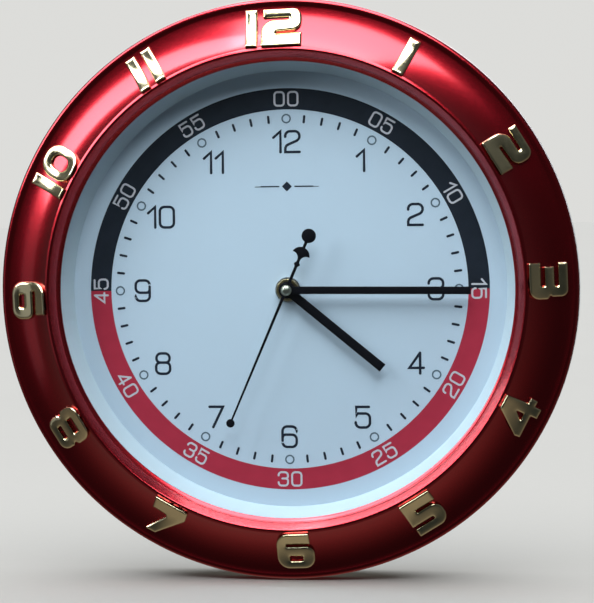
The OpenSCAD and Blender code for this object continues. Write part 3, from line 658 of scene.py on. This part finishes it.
SEVEN = [[(0, H, 0.6), (19, H - 0.2, 1.2), (19.2, H - 6, 2.4), (7.4, 0, 0.8), (1.3, 0, 0.6),
          (9.8, H - 7.2, 1), (0.5, H - 6.8, 0.5)]]
EIGHT = [[(0.6, H - 0.2, 4.6), (18.8, H - 0.2, 4.6), (18.8, 12.2, 1.4), (17.5, 10.8, 0.6),
          (19.8, 9.4, 1.8), (19.8, 0, 5.6), (0, 0, 5.6), (0, 9.4, 1.8), (2, 10.8, 0.6),
          (0.6, 12.2, 1.4)],
         [(6.2, 13.4, 0.6), (13, 13.4, 0.6), (13, 15.4, 0.6), (6.2, 15.4, 0.6)],
         [(5.8, 5.4, 0.7), (13.8, 5.4, 0.7), (13.8, 8.6, 0.7), (5.8, 8.6, 0.7)]]
NINE = [[(SIX_W - x, H - y, r) for x, y, r in loop] for loop in SIX]
ZERO = [[(0, H - 0.1, 7.4), (ZERO_W, H - 0.1, 7.4), (ZERO_W, 0.1, 7.4), (0, 0.1, 7.4)],
        [(4.8, 4.8, 3.5), (12.2, 4.8, 3.5), (12.2, H - 4.8, 3.5), (4.8, H - 4.8, 3.5)]]

# Each numeral as its overall width and its solids, each a list of loops
NUMERALS = {
    1: (BAR_W, [bar()]),
    2: (TWO_W, [TWO]),
    3: (THREE_W, [THREE]),
    4: (FOUR_W, [FOUR]),
    5: (FIVE_W, [FIVE]),
    6: (SIX_W, [SIX]),
    7: (SEVEN_W, [SEVEN]),
    8: (EIGHT_W, [EIGHT]),
    9: (SIX_W, [NINE]),
    10: (TEN_X + ZERO_W, [bar(), shifted(ZERO, TEN_X)]),
    11: (ELEVEN_X + THIN_BAR_W, [bar(THIN_BAR_W), bar(THIN_BAR_W, ELEVEN_X)]),
    12: (TWELVE_X + WIDE_TWO_W, [bar(), shifted(TWO, TWELVE_X, WIDE_TWO_W / TWO_W)]),
}


def on_cove(x, y, height):
    """z of the point at (x, y) that stands height above the cove."""
    r = math.hypot(x, y)
    return COVE_C[1] - math.sqrt((COVE_R - height) ** 2 - (r - COVE_C[0]) ** 2)


def make_numeral(n):
    """One plated numeral: it follows the cove, and its front rolls over into its sides."""
    roll_w, roll_h, crown_w, crown = 1.3, 0.75, 3.0, 0.3
    roll_rows = [roll_w * share for share in (0.04, 0.13, 0.28, 0.5, 0.75, 1.0)]
    grid, rim_step = 0.8, 0.45
    width, solids = NUMERALS[n]
    head_inwards = 4 <= n <= 7
    place = clock(NUMERAL_R, 30 * n + RING_TURN)
    angle = 30 * n + RING_TURN + (180 if head_inwards else 0)
    bm = bmesh.new()
    for solid in solids:
        flat = [[(x - width / 2, y - H / 2) for x, y in rounded(loop)] for loop in solid]
        loops = [resampled(turned(loop, angle, place), rim_step) for loop in flat]
        extra = rim_points(loops, roll_rows)
        xs, ys = zip(*loops[0])
        columns, rows = np.arange(min(xs), max(xs), grid), np.arange(min(ys), max(ys), grid)
        inner = [(x, y) for x in columns for y in rows]
        far, inside = distances(inner, loops)
        extra += [p for p, d, ok in zip(inner, far, inside) if ok and d > roll_w * 1.25]

        def front(x, y, d):
            height = NUMERAL_T - crown - roll_h * rolled(d, roll_w)
            height += crown * (1 - (1 - min(d / crown_w, 1)) ** 2)
            return on_cove(x, y, NUMERAL_GLUE + height)

        slab(bm, loops, lambda x, y, d: on_cove(x, y, NUMERAL_GLUE), front, extra)
    finish_mesh(f"gold_numeral_{n}", bm, "case", GOLD, [f"numeral_{n}"], sharp=50)


# Printed dial ------------------------------------------------------------------------------------
# A printed figure is made of strokes of even width along centrelines with rounded corners


def soft(points, closed=False):
    """A stroke's centreline, given as (x, y, corner radius); the radii of open ends aren't used."""
    if closed:
        return rounded(points)
    made = [points[0][:2]]
    for before, here, after in zip(points, points[1:], points[2:]):
        made += corner(before, here, after, 8) if here[2] else [here[:2]]
    return made + [points[-1][:2]]


def figure_strokes(n, w, h):
    """The centrelines of one digit as (path, closed), on a box w by h."""
    r = w * 0.33
    bend = r * 0.8
    if n == 0:
        return [(soft([(0, h, r), (w, h, r), (w, 0, r), (0, 0, r)], True), True)]
    if n == 8:
        inset, waist = w * 0.03, h * 0.55
        left, right = inset, w - inset
        top = [(left, h, r), (right, h, r), (right, waist, r * 0.85), (left, waist, r * 0.85)]
        low = [(0, waist, r * 0.9), (w, waist, r * 0.9), (w, 0, r), (0, 0, r)]
        return [(soft(loop, True), True) for loop in (top, low)]
    if n == 9:
        return [([(w - x, h - y) for x, y in path], closed) for path, closed in figure_strokes(6, w, h)]
    strokes = {
        1: [[(w * 0.5, h - w * 0.43, 0), (w, h, 0), (w, 0, 0)]],
        2: [[(0, h * 0.74, 0), (0, h, r), (w, h, r), (w, h * 0.6, r * 1.1), (0, h * 0.3, r), (0, 0, 0),
             (w, 0, 0)]],
        3: [[(0, h * 0.76, 0), (0, h, r), (w, h, r), (w, h * 0.53, bend), (w * 0.4, h * 0.53, 0)],
            [(w * 0.4, h * 0.53, 0), (w, h * 0.53, bend), (w, 0, r), (0, 0, r), (0, h * 0.25, 0)]],
        4: [[(w * 0.75, 0, 0), (w * 0.75, h, 0)],
            [(w * 0.75, h, 0), (0, h * 0.27, 0), (w, h * 0.27, 0)]],
        5: [[(w * 0.93, h, 0), (w * 0.04, h, 0), (w * 0.04, h * 0.56, 0), (w * 0.12, h * 0.68, w * 0.1),
             (w, h * 0.68, r), (w, 0, r), (0, 0, r), (0, h * 0.25, 0)]],
        6: [[(0, h * 0.3, 0), (0, 0, r), (w, 0, r), (w, h * 0.6, r), (0, h * 0.6, r * 0.7), (0, h * 0.25, 0)],
            [(0, h * 0.3, 0), (0, h, r), (w, h, r), (w, h * 0.78, 0)]],
        7: [[(0, h, 0), (w * 0.96, h, 0), (w * 0.25, 0, 0)]],
    }
    return [(soft(stroke), False) for stroke in strokes[n]]


def number(bm, text, size, stroke, gap, at, angle, z0):
    """A printed number: digits of centreline size (w, h), centred at a point and turned."""
    w, h = size
    strokes, x = [], 0.0
    for digit in text:
        n = int(digit)
        narrow = w * 0.5 if n == 1 else 0.0
        for path, closed in figure_strokes(n, w, h):
            strokes.append(([(px + x - narrow, py) for px, py in path], closed))
        x += w - narrow + gap
    total = x - gap
    for layer, (path, closed) in enumerate(strokes):
        placed = turned([(px - total / 2, py - h / 2) for px, py in path], angle, at)
        ribbon(bm, placed, stroke, z0, z0 + INK + layer * LAYER, closed)


def sector(bm, r0, r1, a0, a1, z0, z1):
    """A printed band between two radii and two clock angles, made of quads."""
    steps = int(abs(a1 - a0))
    rows = []
    for i in range(steps + 1):
        a = a0 + (a1 - a0) * i / steps
        inner, outer = clock(r0, a), clock(r1, a)
        rows.append([bm.verts.new(put(*p, z)) for p in (inner, outer) for z in (z0, z1)])
    for (ib0, it0, ob0, ot0), (ib1, it1, ob1, ot1) in zip(rows, rows[1:]):
        for quad in ((it0, ot0, ot1, it1), (ib1, ob1, ob0, ib0), (ob0, ob1, ot1, ot0), (it0, it1, ib1, ib0)):
            bm.faces.new(quad)
    for ib, it, ob, ot in (rows[0], rows[-1]):
        bm.faces.new((ib, it, ot, ob))


def make_dial_print():
    base = DIAL_Z + PRINT_GAP
    bands = {"dial_band_dark": (-90, 90, INK_DARK), "dial_band_red": (90, 270, INK_RED)}
    for name, (a0, a1, ink) in bands.items():
        bm = bmesh.new()
        sector(bm, *BAND, a0, a1, base, base + INK)
        finish_mesh(name, bm, "case", ink)

    size, stroke, gap = (7.4, 10.7), 1.35, 2.5
    bm = bmesh.new()
    for hour in range(1, 13):
        number(bm, str(hour), size, stroke, gap, clock(HOUR_FIGURE_R, 30 * hour), 0, base)
    finish_mesh("dial_hour_figures", bm, "case", INK_TEXT)

    # The tops of the minute figures point outwards, but inwards from 20 to 40
    size, stroke, gap = (4.9, 7.0), 1.0, 2.2
    bm = bmesh.new()
    for minute in range(0, 60, 5):
        a = 6 * minute
        angle = a + 180 if 15 < minute < 45 else a
        number(bm, f"{minute:02d}", size, stroke, gap, clock(MINUTE_FIGURE_R, a), angle, base + INK)
    finish_mesh("dial_minute_figures", bm, "case", INK_WHITE)

    mark_l, mark_w = 4.3, 1.25
    reach = (mark_l - mark_w) / 2
    bm = bmesh.new()
    for minute in range(60):
        if minute % 5:
            ends = [clock(TRACK_R + side * reach, 6 * minute) for side in (-1, 1)]
            ribbon(bm, ends, mark_w, base, base + INK)
    finish_mesh("dial_minute_marks", bm, "case", INK_TEXT)

    ring_r, ring_stroke, ring_steps = 2.1, 0.8, 24
    bm = bmesh.new()
    for hour in range(12):
        ring = arc(clock(TRACK_R, 30 * hour), ring_r, 0, 360, ring_steps)[:-1]
        ribbon(bm, ring, ring_stroke, base, base + INK, True)
    finish_mesh("dial_hour_rings", bm, "case", INK_GREY)

    # A small ornament: a lozenge between two lines that end in thinner ones
    y, half, line_x, thin_x, tip_x = 53.5, 2.6, 4.2, 13.5, 16.5
    thin_y = y - 0.1
    bm = bmesh.new()
    for side in (-1, 1):
        ribbon(bm, [(side * line_x, y), (side * thin_x, y)], 0.7, base, base + INK)
        ribbon(bm, [(side * thin_x, thin_y), (side * tip_x, thin_y)], 0.35, base, base + INK)
    lozenge = [(0, y + half), (half, y), (0, y - half), (-half, y)]
    slab(bm, [lozenge], flat_at(base), flat_at(base + INK))
    finish_mesh("dial_ornament", bm, "case", INK_TEXT)


# Hands -------------------------------------------------------------------------------------------


def bar_hand(name, body, spec, z0, node):
    """A straight hand with a round eye over the pipe that it is pressed on."""
    w = spec["width"] / 2
    half = math.degrees(math.asin(w / spec["eye"]))
    outline = arc((0, 0), spec["eye"], 90 + half, 450 - half, 48)
    outline += [(w, spec["length"]), (-w, spec["length"])]
    bm = bmesh.new()
    plate(bm, [turned(outline, spec["angle"])], z0, z0 + spec["thick"], HAND_EDGE)
    finish_mesh(name, bm, body, BLACK, [node], sharp=50)


def second_hand_outline():
    """The right half from the tip down: disc, tapered blade, eye, lozenge, crescent and end disc."""
    spec = SECOND_HAND
    rod, disc_y, disc_r = 0.78, -30.4, 3.7
    lozenge_y, lozenge_x, lozenge_h, blunt = -14.6, 1.65, 1.2, 0.15
    top, top_r, neck, neck_r = (0, -19.15), 4.77, (4.12, -16.7), 3.39
    tip = arc((0, spec["length"]), spec["tip"], 90, -77, 20)
    eye = arc((0, 0), spec["eye"], 73, -73, 20)
    kite = [(rod, lozenge_y + lozenge_h), (lozenge_x, lozenge_y + blunt)]
    kite += [(lozenge_x, lozenge_y - blunt), (rod, lozenge_y - lozenge_h)]
    apart = math.dist(top, neck)
    bearing = math.degrees(math.atan2(neck[1] - top[1], neck[0] - top[0]))
    at_top = bearing - opposite(neck_r, top_r, apart)
    at_neck = bearing - 180 + opposite(top_r, neck_r, apart)
    inner = arc(neck, neck_r, -math.degrees(math.acos((rod - neck[0]) / neck_r)), at_neck, 14)
    outer = arc(top, top_r, at_top, -math.degrees(math.acos(rod / top_r)), 20)
    disc = arc((0, disc_y), disc_r, math.degrees(math.acos(rod / disc_r)), -90, 24)
    return mirrored(tip + eye + kite + inner + outer + disc)


def make_second_hand():
    z0 = HAND_Z["second"]
    bm = bmesh.new()
    outline = turned(second_hand_outline(), SECOND_HAND["angle"])
    plate(bm, [outline], z0, z0 + SECOND_HAND["thick"], SECOND_EDGE)
    finish_mesh("black_second_hand", bm, "seconds", BLACK, ["second_hand"], sharp=50)

    # Turned cap that closes the tube at the centre
    top = front_of("second_hand")
    cap_r, round_r = 2.85, 3.45
    half = math.degrees(math.asin(cap_r / round_r))
    crown = arc((0, top - round_r), round_r, 90, 90 - half, 14)
    seat = z0 + SECOND_HAND["thick"] + 0.02
    bm = bmesh.new()
    dome(bm, crown + [(cap_r, seat), (0, seat)])
    finish_mesh("second_hand_cap", bm, "seconds", CAP_METAL, sharp=50)


def make_hands():
    bar_hand("black_hour_hand", "hours", HOUR_HAND, HAND_Z["hour"], "hour_hand")
    bar_hand("black_minute_hand", "minutes", MINUTE_HAND, HAND_Z["minute"], "minute_hand")
    make_second_hand()


def make_nut():
    """Round brass nut: a rounded rim, a turned groove in the front and a chamfered bore."""
    bore, chamfer, edge, groove_r, depth = 4.03, 0.15, 0.35, NUT_R - 1.05, 0.35
    z0, z1 = NUT_Z
    profile = [(bore, z0), (NUT_R, z0)]
    profile += arc((NUT_R - edge, z1 - edge), edge, 0, 90, 6)
    profile += [(groove_r + 0.25, z1), (groove_r + 0.1, z1 - depth)]
    profile += [(groove_r - 0.1, z1 - depth), (groove_r - 0.25, z1)]
    profile += [(bore + chamfer, z1), (bore, z1 - chamfer)]
    bm = bmesh.new()
    lathe(bm, profile, 96)
    finish_mesh("brass_nut", bm, "case", BRASS, ["centre_nut"], sharp=45)


# Stage -------------------------------------------------------------------------------------------


def towards(tilt, turn):
    """Unit vector tilt degrees off the dial's axis, turned clockwise from straight up."""
    t, a = math.radians(tilt), math.radians(turn)
    return Vector((math.sin(t) * math.sin(a), -math.cos(t), math.sin(t) * math.cos(a)))


def softbox(name, tilt, turn, width, height, radiance):
    """A slightly cool rectangular light that faces the dial's centre."""
    distance = 1.15
    data = bpy.data.lights.new(name, "AREA")
    data.shape = "RECTANGLE"
    data.size, data.size_y = width, height
    data.energy = radiance * math.pi * width * height
    data.color = (0.9, 0.97, 1.03)
    light = link_new(name, data)
    direction = towards(tilt, turn)
    light.location = direction * distance
    light.rotation_euler = direction.to_track_quat("Z", "Y").to_euler()
    return light


def make_world():
    """Pale to the eye; for reflections a dim room, warm below, cool above and darkest in front."""
    world = bpy.data.worlds.new("studio")
    bpy.context.scene.world = world
    world.use_nodes = True
    tree = world.node_tree

    def add(kind, links, **values):
        node = tree.nodes.new("ShaderNode" + kind)
        if kind == "Mix":
            node.data_type = "RGBA"
        for socket, value in values.items():
            node.inputs[socket.replace("_", " ")].default_value = value
        for socket, output in links.items():
            tree.links.new(output, node.inputs[socket])
        return node

    coords = add("TexCoord", {})
    split = add("SeparateXYZ", {0: coords.outputs["Generated"]})
    upward = add("MapRange", {"Value": split.outputs["Z"]}, From_Min=-1)
    ramp = add("ValToRGB", {"Fac": upward.outputs["Result"]})
    set_stops(ramp, [(0.0, (0.3, 0.26, 0.21)), (0.12, (0.24, 0.205, 0.165)), (0.3, (0.12, 0.105, 0.09)),
                     (0.5, (0.085, 0.085, 0.08)), (0.7, (0.075, 0.08, 0.08)), (1.0, (0.15, 0.16, 0.17))])
    beside = add("MapRange", {"Value": split.outputs["Y"]}, From_Min=-0.85, From_Max=-0.1)
    front, backdrop = (0.03, 0.034, 0.035, 1), (0.72, 0.72, 0.7, 1)
    room = add("Mix", {"Factor": beside.outputs["Result"], "B": ramp.outputs["Color"]}, A=front)
    path = add("LightPath", {})
    seen = add("Mix", {"Factor": path.outputs["Is Camera Ray"], "A": room.outputs["Result"]}, B=backdrop)
    tree.links.new(seen.outputs["Result"], tree.nodes["Background"].inputs["Color"])


def make_floor():
    """A plain pale floor under the lowest point of the clock."""
    half = 60.0
    z = CAD_BOX[0].z
    bm = bmesh.new()
    corners = [(-half, -half), (half, -half), (half, half), (-half, half)]
    bm.faces.new([bm.verts.new((x, y, z)) for x, y in corners])
    mesh = bpy.data.meshes.new("floor")
    bm.to_mesh(mesh)
    bm.free()
    floor = link_new("floor", mesh)
    mesh.materials.append(surface("pale_floor", (0.62, 0.62, 0.6), 0.8, vary=0.01, patch=300, grain=4))
    floor.visible_glossy = False
    floor.visible_diffuse = False
    return floor


def make_camera():
    """A long lens a little to the right of the dial's axis and above it, slightly rolled."""
    azimuth, elevation, roll = math.radians(6.45), math.radians(2.57), math.radians(-0.617)
    distance = 0.947
    target = put(4.63, -6.14, DIAL_Z)
    away = Vector((math.sin(azimuth) * math.cos(elevation), -math.cos(azimuth) * math.cos(elevation),
                   math.sin(elevation)))
    right = Vector((0, 0, 1)).cross(away).normalized()
    up = away.cross(right)
    across = right * math.cos(roll) + up * math.sin(roll)
    upward = up * math.cos(roll) - right * math.sin(roll)
    data = bpy.data.cameras.new("camera")
    data.sensor_fit = "HORIZONTAL"
    data.sensor_width = 36
    data.lens = 110.62
    camera = link_new("camera", data)
    turn = Matrix((across, upward, away)).transposed().to_4x4()
    camera.matrix_world = Matrix.Translation(target + away * distance) @ turn
    bpy.context.scene.camera = camera


def shine_on(light, obj, state):
    """Light only this object, or everything but it."""
    group = bpy.data.collections.new(light.name + "_" + state.lower())
    group.objects.link(obj)
    group.collection_objects[0].light_linking.link_state = state
    light.light_linking.receiver_collection = group


def make_lights(floor):
    """Soft boxes that light everything but the floor, and a wide sun that lights only the floor."""
    radiance = 9.0
    # Tilt, turn, width, height and share of the radiance
    boxes = {
        "key": (67, 3, 0.8, 1.22, 1.0),
        "side_key": (70, -41, 0.54, 1.3, 1.0),
        "left_fill": (64, -78, 0.45, 1.2, 0.03),
        "back_fill": (150, 0, 1.2, 1.2, 0.25),
    }
    for name, (tilt, turn, width, height, share) in boxes.items():
        light = softbox(name, tilt, turn, width, height, share * radiance)
        shine_on(light, floor, "EXCLUDE")
    data = bpy.data.lights.new("overhead", "SUN")
    data.energy = 3.3
    data.angle = math.radians(100)
    overhead = link_new("overhead", data)
    shine_on(overhead, floor, "INCLUDE")


paint_kept_nodes()
make_front_ring()
for hour in NUMERALS:
    make_numeral(hour)
make_dial_print()
make_hands()
make_nut()
make_world()
make_lights(make_floor())
make_camera()
bpy.context.scene.view_settings.view_transform = "Standard"
